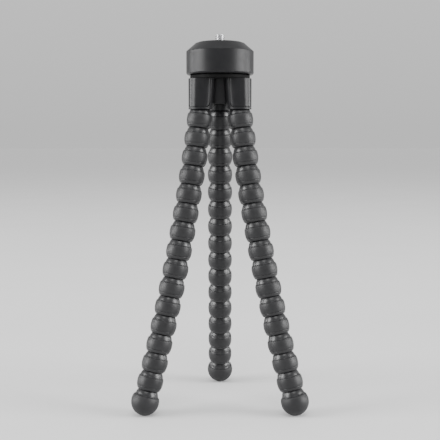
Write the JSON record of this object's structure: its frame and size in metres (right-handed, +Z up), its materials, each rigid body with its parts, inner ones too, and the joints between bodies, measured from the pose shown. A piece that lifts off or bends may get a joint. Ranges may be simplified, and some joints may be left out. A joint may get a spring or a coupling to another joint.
{
  "type": "flexible leg tripod",
  "caption": "Small tripod with bendable legs of ball-jointed beads under a turning head with a camera screw.",
  "frame": {"origin": "on the floor under the middle of the footprint, at the centre of the bounding box's base", "axes": "+Z up, -Y towards the two front legs, +X towards the right leg"},
  "size_m": [0.1162, 0.1032, 0.249],
  "materials": {
    "hard_black_plastic": "gloss",
    "bead_plastic": "satin",
    "foot_rubber": "matte",
    "pad_rubber": "matte",
    "screw_steel": "satin",
    "black_steel": "satin",
    "washer_plastic": "satin"
  },
  "bodies": {
    "hub": {"hub_body": "hard_black_plastic", "hub_top_plate": "hard_black_plastic", "top_plate_screws": "black_steel", "leg_ball_studs": "hard_black_plastic", "cuff_cover_left": "hard_black_plastic", "cuff_cover_right": "hard_black_plastic", "cuff_cover_rear": "hard_black_plastic", "pan_friction_washer": "washer_plastic"},
    "pan_head": {"pan_head": "hard_black_plastic", "camera_pad": "pad_rubber", "camera_screw": "screw_steel", "pan_bolt": "black_steel"},
    "leg_left_bead_01": {"leg_left_bead_01": "bead_plastic"},
    "leg_left_bead_02": {"leg_left_bead_02": "bead_plastic"},
    "leg_left_bead_03": {"leg_left_bead_03": "bead_plastic"},
    "leg_left_bead_04": {"leg_left_bead_04": "bead_plastic"},
    "leg_left_bead_05": {"leg_left_bead_05": "bead_plastic"},
    "leg_left_bead_06": {"leg_left_bead_06": "bead_plastic"},
    "leg_left_bead_07": {"leg_left_bead_07": "bead_plastic"},
    "leg_left_bead_08": {"leg_left_bead_08": "bead_plastic"},
    "leg_left_bead_09": {"leg_left_bead_09": "bead_plastic"},
    "leg_left_bead_10": {"leg_left_bead_10": "bead_plastic"},
    "leg_left_bead_11": {"leg_left_bead_11": "bead_plastic"},
    "leg_left_bead_12": {"leg_left_bead_12": "bead_plastic"},
    "leg_left_bead_13": {"leg_left_bead_13": "bead_plastic"},
    "leg_left_bead_14": {"leg_left_bead_14": "bead_plastic"},
    "leg_left_bead_15": {"leg_left_bead_15": "bead_plastic"},
    "leg_left_foot": {"leg_left_foot": "foot_rubber"},
    "leg_right_bead_01": {"leg_right_bead_01": "bead_plastic"},
    "leg_right_bead_02": {"leg_right_bead_02": "bead_plastic"},
    "leg_right_bead_03": {"leg_right_bead_03": "bead_plastic"},
    "leg_right_bead_04": {"leg_right_bead_04": "bead_plastic"},
    "leg_right_bead_05": {"leg_right_bead_05": "bead_plastic"},
    "leg_right_bead_06": {"leg_right_bead_06": "bead_plastic"},
    "leg_right_bead_07": {"leg_right_bead_07": "bead_plastic"},
    "leg_right_bead_08": {"leg_right_bead_08": "bead_plastic"},
    "leg_right_bead_09": {"leg_right_bead_09": "bead_plastic"},
    "leg_right_bead_10": {"leg_right_bead_10": "bead_plastic"},
    "leg_right_bead_11": {"leg_right_bead_11": "bead_plastic"},
    "leg_right_bead_12": {"leg_right_bead_12": "bead_plastic"},
    "leg_right_bead_13": {"leg_right_bead_13": "bead_plastic"},
    "leg_right_bead_14": {"leg_right_bead_14": "bead_plastic"},
    "leg_right_bead_15": {"leg_right_bead_15": "bead_plastic"},
    "leg_right_foot": {"leg_right_foot": "foot_rubber"},
    "leg_rear_bead_01": {"leg_rear_bead_01": "bead_plastic"},
    "leg_rear_bead_02": {"leg_rear_bead_02": "bead_plastic"},
    "leg_rear_bead_03": {"leg_rear_bead_03": "bead_plastic"},
    "leg_rear_bead_04": {"leg_rear_bead_04": "bead_plastic"},
    "leg_rear_bead_05": {"leg_rear_bead_05": "bead_plastic"},
    "leg_rear_bead_06": {"leg_rear_bead_06": "bead_plastic"},
    "leg_rear_bead_07": {"leg_rear_bead_07": "bead_plastic"},
    "leg_rear_bead_08": {"leg_rear_bead_08": "bead_plastic"},
    "leg_rear_bead_09": {"leg_rear_bead_09": "bead_plastic"},
    "leg_rear_bead_10": {"leg_rear_bead_10": "bead_plastic"},
    "leg_rear_bead_11": {"leg_rear_bead_11": "bead_plastic"},
    "leg_rear_bead_12": {"leg_rear_bead_12": "bead_plastic"},
    "leg_rear_bead_13": {"leg_rear_bead_13": "bead_plastic"},
    "leg_rear_bead_14": {"leg_rear_bead_14": "bead_plastic"},
    "leg_rear_bead_15": {"leg_rear_bead_15": "bead_plastic"},
    "leg_rear_foot": {"leg_rear_foot": "foot_rubber"}
  },
  "joints": [
    {"name": "pan_joint", "type": "hinge", "parent": "hub", "child": "pan_head", "pos_m": [0, -0.01412, 0.22197], "axis": [0, 0, 1], "continuous": true},
    {"name": "leg_left_joint_01", "type": "hinge", "parent": "hub", "child": "leg_left_bead_01", "pos_m": [-0.01308, -0.02167, 0.19517], "axis": [-0.8565, -0.4945, 0.1478], "range_deg": [-18.1, 18.1]},
    {"name": "leg_left_joint_02", "type": "hinge", "parent": "leg_left_bead_01", "child": "leg_left_bead_02", "pos_m": [-0.01468, -0.02259, 0.18281], "axis": [-0.5, 0.866, 0], "range_deg": [-20.57, 19.43]},
    {"name": "leg_left_joint_03", "type": "hinge", "parent": "leg_left_bead_02", "child": "leg_left_bead_03", "pos_m": [-0.01638, -0.02358, 0.17047], "axis": [-0.8538, -0.4929, 0.1673], "range_deg": [-19.9, 19.9]},
    {"name": "leg_left_joint_04", "type": "hinge", "parent": "leg_left_bead_03", "child": "leg_left_bead_04", "pos_m": [-0.01819, -0.02462, 0.15814], "axis": [0.5, -0.866, 0], "range_deg": [-19.43, 20.57]},
    {"name": "leg_left_joint_05", "type": "hinge", "parent": "leg_left_bead_04", "child": "leg_left_bead_05", "pos_m": [-0.02011, -0.02573, 0.14584], "axis": [-0.8508, -0.4912, 0.1868], "range_deg": [-19.9, 19.9]},
    {"name": "leg_left_joint_06", "type": "hinge", "parent": "leg_left_bead_05", "child": "leg_left_bead_06", "pos_m": [-0.02213, -0.0269, 0.13356], "axis": [-0.5, 0.866, 0], "range_deg": [-20.57, 19.43]},
    {"name": "leg_left_joint_07", "type": "hinge", "parent": "leg_left_bead_06", "child": "leg_left_bead_07", "pos_m": [-0.02426, -0.02813, 0.1213], "axis": [-0.8474, -0.4893, 0.2062], "range_deg": [-19.9, 19.9]},
    {"name": "leg_left_joint_08", "type": "hinge", "parent": "leg_left_bead_07", "child": "leg_left_bead_08", "pos_m": [-0.02649, -0.02941, 0.10907], "axis": [0.5, -0.866, 0], "range_deg": [-19.43, 20.57]},
    {"name": "leg_left_joint_09", "type": "hinge", "parent": "leg_left_bead_08", "child": "leg_left_bead_09", "pos_m": [-0.02883, -0.03076, 0.09687], "axis": [-0.8437, -0.4871, 0.2255], "range_deg": [-19.9, 19.9]},
    {"name": "leg_left_joint_10", "type": "hinge", "parent": "leg_left_bead_09", "child": "leg_left_bead_10", "pos_m": [-0.03127, -0.03217, 0.08469], "axis": [-0.5, 0.866, 0], "range_deg": [-20.57, 19.43]},
    {"name": "leg_left_joint_11", "type": "hinge", "parent": "leg_left_bead_10", "child": "leg_left_bead_11", "pos_m": [-0.03382, -0.03364, 0.07254], "axis": [-0.8397, -0.4848, 0.2447], "range_deg": [-19.9, 19.9]},
    {"name": "leg_left_joint_12", "type": "hinge", "parent": "leg_left_bead_11", "child": "leg_left_bead_12", "pos_m": [-0.03647, -0.03517, 0.06042], "axis": [0.5, -0.866, 0], "range_deg": [-19.43, 20.57]},
    {"name": "leg_left_joint_13", "type": "hinge", "parent": "leg_left_bead_12", "child": "leg_left_bead_13", "pos_m": [-0.03922, -0.03676, 0.04833], "axis": [-0.8353, -0.4823, 0.2639], "range_deg": [-19.9, 19.9]},
    {"name": "leg_left_joint_14", "type": "hinge", "parent": "leg_left_bead_13", "child": "leg_left_bead_14", "pos_m": [-0.04208, -0.03841, 0.03627], "axis": [-0.5, 0.866, 0], "range_deg": [-20.57, 19.43]},
    {"name": "leg_left_joint_15", "type": "hinge", "parent": "leg_left_bead_14", "child": "leg_left_bead_15", "pos_m": [-0.04504, -0.04012, 0.02425], "axis": [-0.8306, -0.4796, 0.2829], "range_deg": [-19.9, 19.9]},
    {"name": "leg_left_joint_16", "type": "hinge", "parent": "leg_left_bead_15", "child": "leg_left_foot", "pos_m": [-0.0481, -0.04189, 0.01226], "axis": [0.5, -0.866, 0], "range_deg": [-19.43, 20.57]},
    {"name": "leg_right_joint_01", "type": "hinge", "parent": "hub", "child": "leg_right_bead_01", "pos_m": [0.01308, -0.02167, 0.19517], "axis": [0.8565, -0.4945, 0.1478], "range_deg": [-18.1, 18.1]},
    {"name": "leg_right_joint_02", "type": "hinge", "parent": "leg_right_bead_01", "child": "leg_right_bead_02", "pos_m": [0.01468, -0.02259, 0.18281], "axis": [-0.5, -0.866, 0], "range_deg": [-20.57, 19.43]},
    {"name": "leg_right_joint_03", "type": "hinge", "parent": "leg_right_bead_02", "child": "leg_right_bead_03", "pos_m": [0.01638, -0.02358, 0.17047], "axis": [0.8538, -0.4929, 0.1673], "range_deg": [-19.9, 19.9]},
    {"name": "leg_right_joint_04", "type": "hinge", "parent": "leg_right_bead_03", "child": "leg_right_bead_04", "pos_m": [0.01819, -0.02462, 0.15814], "axis": [0.5, 0.866, 0], "range_deg": [-19.43, 20.57]},
    {"name": "leg_right_joint_05", "type": "hinge", "parent": "leg_right_bead_04", "child": "leg_right_bead_05", "pos_m": [0.02011, -0.02573, 0.14584], "axis": [0.8508, -0.4912, 0.1868], "range_deg": [-19.9, 19.9]},
    {"name": "leg_right_joint_06", "type": "hinge", "parent": "leg_right_bead_05", "child": "leg_right_bead_06", "pos_m": [0.02213, -0.0269, 0.13356], "axis": [-0.5, -0.866, 0], "range_deg": [-20.57, 19.43]},
    {"name": "leg_right_joint_07", "type": "hinge", "parent": "leg_right_bead_06", "child": "leg_right_bead_07", "pos_m": [0.02426, -0.02813, 0.1213], "axis": [0.8474, -0.4893, 0.2062], "range_deg": [-19.9, 19.9]},
    {"name": "leg_right_joint_08", "type": "hinge", "parent": "leg_right_bead_07", "child": "leg_right_bead_08", "pos_m": [0.02649, -0.02941, 0.10907], "axis": [0.5, 0.866, 0], "range_deg": [-19.43, 20.57]},
    {"name": "leg_right_joint_09", "type": "hinge", "parent": "leg_right_bead_08", "child": "leg_right_bead_09", "pos_m": [0.02883, -0.03076, 0.09687], "axis": [0.8437, -0.4871, 0.2255], "range_deg": [-19.9, 19.9]},
    {"name": "leg_right_joint_10", "type": "hinge", "parent": "leg_right_bead_09", "child": "leg_right_bead_10", "pos_m": [0.03127, -0.03217, 0.08469], "axis": [-0.5, -0.866, 0], "range_deg": [-20.57, 19.43]},
    {"name": "leg_right_joint_11", "type": "hinge", "parent": "leg_right_bead_10", "child": "leg_right_bead_11", "pos_m": [0.03382, -0.03364, 0.07254], "axis": [0.8397, -0.4848, 0.2447], "range_deg": [-19.9, 19.9]},
    {"name": "leg_right_joint_12", "type": "hinge", "parent": "leg_right_bead_11", "child": "leg_right_bead_12", "pos_m": [0.03647, -0.03517, 0.06042], "axis": [0.5, 0.866, 0], "range_deg": [-19.43, 20.57]},
    {"name": "leg_right_joint_13", "type": "hinge", "parent": "leg_right_bead_12", "child": "leg_right_bead_13", "pos_m": [0.03922, -0.03676, 0.04833], "axis": [0.8353, -0.4823, 0.2639], "range_deg": [-19.9, 19.9]},
    {"name": "leg_right_joint_14", "type": "hinge", "parent": "leg_right_bead_13", "child": "leg_right_bead_14", "pos_m": [0.04208, -0.03841, 0.03627], "axis": [-0.5, -0.866, 0], "range_deg": [-20.57, 19.43]},
    {"name": "leg_right_joint_15", "type": "hinge", "parent": "leg_right_bead_14", "child": "leg_right_bead_15", "pos_m": [0.04504, -0.04012, 0.02425], "axis": [0.8306, -0.4796, 0.2829], "range_deg": [-19.9, 19.9]},
    {"name": "leg_right_joint_16", "type": "hinge", "parent": "leg_right_bead_15", "child": "leg_right_foot", "pos_m": [0.0481, -0.04189, 0.01226], "axis": [0.5, 0.866, 0], "range_deg": [-19.43, 20.57]},
    {"name": "leg_rear_joint_01", "type": "hinge", "parent": "hub", "child": "leg_rear_bead_01", "pos_m": [0, 0.00098, 0.19517], "axis": [0, 0.989, 0.1478], "range_deg": [-18.1, 18.1]},
    {"name": "leg_rear_joint_02", "type": "hinge", "parent": "leg_rear_bead_01", "child": "leg_rear_bead_02", "pos_m": [0, 0.00283, 0.18281], "axis": [1, 0, 0], "range_deg": [-20.57, 19.43]},
    {"name": "leg_rear_joint_03", "type": "hinge", "parent": "leg_rear_bead_02", "child": "leg_rear_bead_03", "pos_m": [0, 0.0048, 0.17047], "axis": [0, 0.9859, 0.1673], "range_deg": [-19.9, 19.9]},
    {"name": "leg_rear_joint_04", "type": "hinge", "parent": "leg_rear_bead_03", "child": "leg_rear_bead_04", "pos_m": [0, 0.00689, 0.15814], "axis": [-1, 0, 0], "range_deg": [-19.43, 20.57]},
    {"name": "leg_rear_joint_05", "type": "hinge", "parent": "leg_rear_bead_04", "child": "leg_rear_bead_05", "pos_m": [0, 0.0091, 0.14584], "axis": [0, 0.9824, 0.1868], "range_deg": [-19.9, 19.9]},
    {"name": "leg_rear_joint_06", "type": "hinge", "parent": "leg_rear_bead_05", "child": "leg_rear_bead_06", "pos_m": [0, 0.01144, 0.13356], "axis": [1, 0, 0], "range_deg": [-20.57, 19.43]},
    {"name": "leg_rear_joint_07", "type": "hinge", "parent": "leg_rear_bead_06", "child": "leg_rear_bead_07", "pos_m": [0, 0.0139, 0.1213], "axis": [0, 0.9785, 0.2062], "range_deg": [-19.9, 19.9]},
    {"name": "leg_rear_joint_08", "type": "hinge", "parent": "leg_rear_bead_07", "child": "leg_rear_bead_08", "pos_m": [0, 0.01647, 0.10907], "axis": [-1, 0, 0], "range_deg": [-19.43, 20.57]},
    {"name": "leg_rear_joint_09", "type": "hinge", "parent": "leg_rear_bead_08", "child": "leg_rear_bead_09", "pos_m": [0, 0.01917, 0.09687], "axis": [0, 0.9742, 0.2255], "range_deg": [-19.9, 19.9]},
    {"name": "leg_rear_joint_10", "type": "hinge", "parent": "leg_rear_bead_09", "child": "leg_rear_bead_10", "pos_m": [0, 0.02199, 0.08469], "axis": [1, 0, 0], "range_deg": [-20.57, 19.43]},
    {"name": "leg_rear_joint_11", "type": "hinge", "parent": "leg_rear_bead_10", "child": "leg_rear_bead_11", "pos_m": [0, 0.02493, 0.07254], "axis": [0, 0.9696, 0.2447], "range_deg": [-19.9, 19.9]},
    {"name": "leg_rear_joint_12", "type": "hinge", "parent": "leg_rear_bead_11", "child": "leg_rear_bead_12", "pos_m": [0, 0.02799, 0.06042], "axis": [-1, 0, 0], "range_deg": [-19.43, 20.57]},
    {"name": "leg_rear_joint_13", "type": "hinge", "parent": "leg_rear_bead_12", "child": "leg_rear_bead_13", "pos_m": [0, 0.03117, 0.04833], "axis": [0, 0.9646, 0.2639], "range_deg": [-19.9, 19.9]},
    {"name": "leg_rear_joint_14", "type": "hinge", "parent": "leg_rear_bead_13", "child": "leg_rear_bead_14", "pos_m": [0, 0.03447, 0.03627], "axis": [1, 0, 0], "range_deg": [-20.57, 19.43]},
    {"name": "leg_rear_joint_15", "type": "hinge", "parent": "leg_rear_bead_14", "child": "leg_rear_bead_15", "pos_m": [0, 0.03788, 0.02425], "axis": [0, 0.9591, 0.2829], "range_deg": [-19.9, 19.9]},
    {"name": "leg_rear_joint_16", "type": "hinge", "parent": "leg_rear_bead_15", "child": "leg_rear_foot", "pos_m": [0, 0.04142, 0.01226], "axis": [-1, 0, 0], "range_deg": [-19.43, 20.57]}
  ]
}
